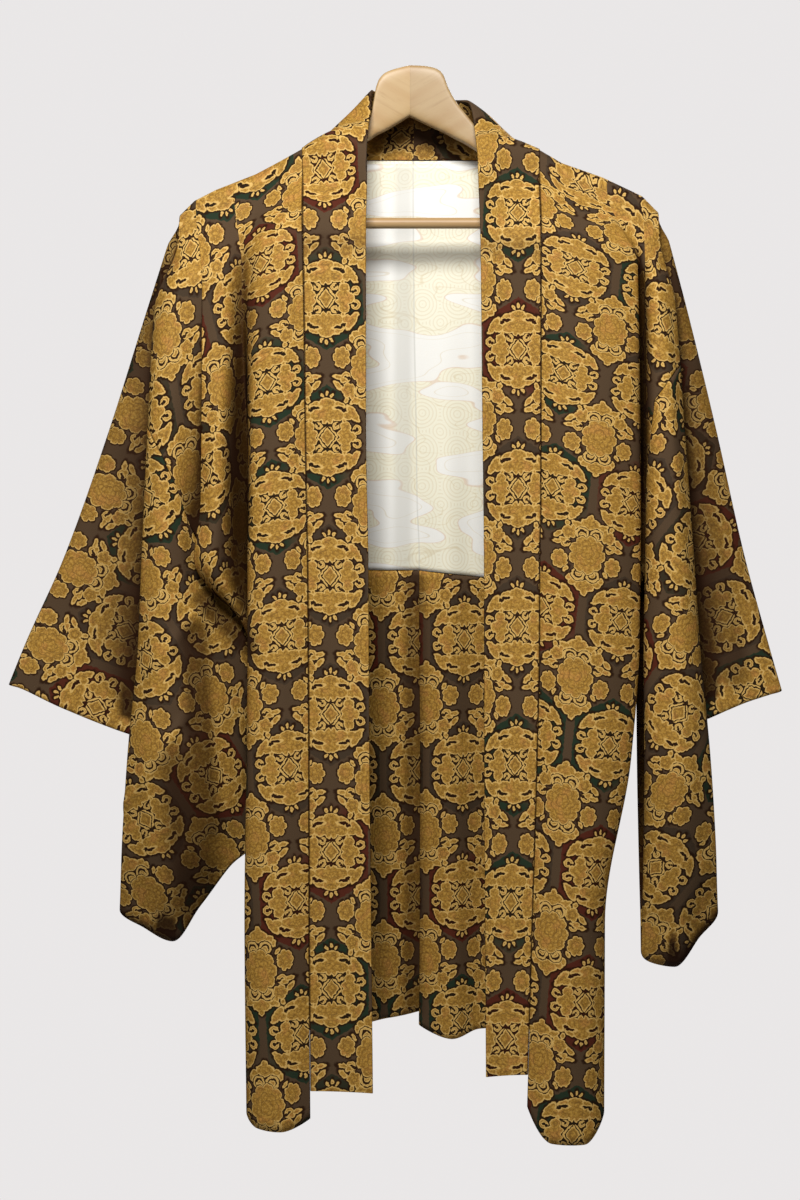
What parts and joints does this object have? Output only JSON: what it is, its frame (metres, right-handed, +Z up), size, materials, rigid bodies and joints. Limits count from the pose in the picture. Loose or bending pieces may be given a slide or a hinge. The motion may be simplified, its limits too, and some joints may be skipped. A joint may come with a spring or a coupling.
{
  "type": "haori jacket on a wooden hanger",
  "caption": "Patterned silk haori hanging open on a wooden hanger, with straight collar band, wide folded sleeves and pale back lining.",
  "frame": {"origin": "top of the wooden hanger at its middle, where it is held", "axes": "+Z up, +X to the wearer's left, -Y to the front of the jacket"},
  "size_m": [0.7164, 0.1863, 0.9833],
  "materials": {
    "patterned_crepe": "dark brown silk crepe with a gold flower pattern",
    "pale_lining": "pale silk lining with a faint line drawing",
    "plain_wood": "light wood, satin"
  },
  "bodies": {
    "root": {"body_right": "patterned_crepe", "body_left": "patterned_crepe", "gusset_right": "patterned_crepe", "gusset_left": "patterned_crepe", "sleeve_right": "patterned_crepe", "sleeve_left": "patterned_crepe", "collar_band": "patterned_crepe", "lining_right": "pale_lining", "lining_left": "pale_lining", "facing_right": "patterned_crepe", "facing_left": "patterned_crepe", "hanger_arm_right": "plain_wood", "hanger_arm_left": "plain_wood", "hanger_bar": "plain_wood"}
  },
  "joints": []
}
